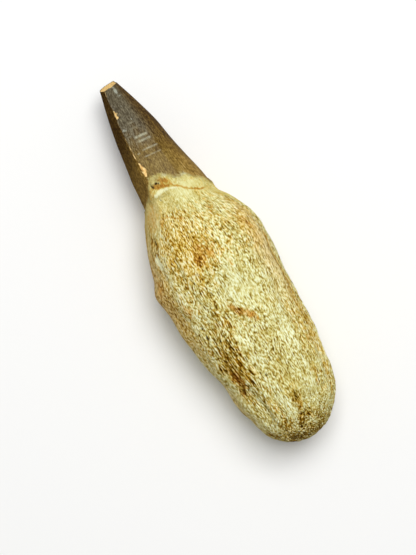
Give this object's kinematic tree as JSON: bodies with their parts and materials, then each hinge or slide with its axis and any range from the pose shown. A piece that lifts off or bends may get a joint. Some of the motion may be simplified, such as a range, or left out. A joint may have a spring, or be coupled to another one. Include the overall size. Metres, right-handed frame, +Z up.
{
  "type": "fossil mosasaur tooth",
  "caption": "Rooted mosasaur tooth fossil: a faceted brown enamel crown with a broken tip on a swollen root of porous tan bone, lying on its side.",
  "frame": {"origin": "under the middle of the tooth's bounding box, on the surface that it lies on", "axes": "+X along the tooth from the root's blunt end to the broken tip, +Y across it on the side of the front cutting edge, +Z up"},
  "size_m": [0.112, 0.0352, 0.0293],
  "materials": {
    "fossil_tooth": "porous tan fossil bone on the root, glossy brown enamel on the crown"
  },
  "bodies": {
    "root": {"mosasaur_tooth": "fossil_tooth"}
  },
  "joints": []
}
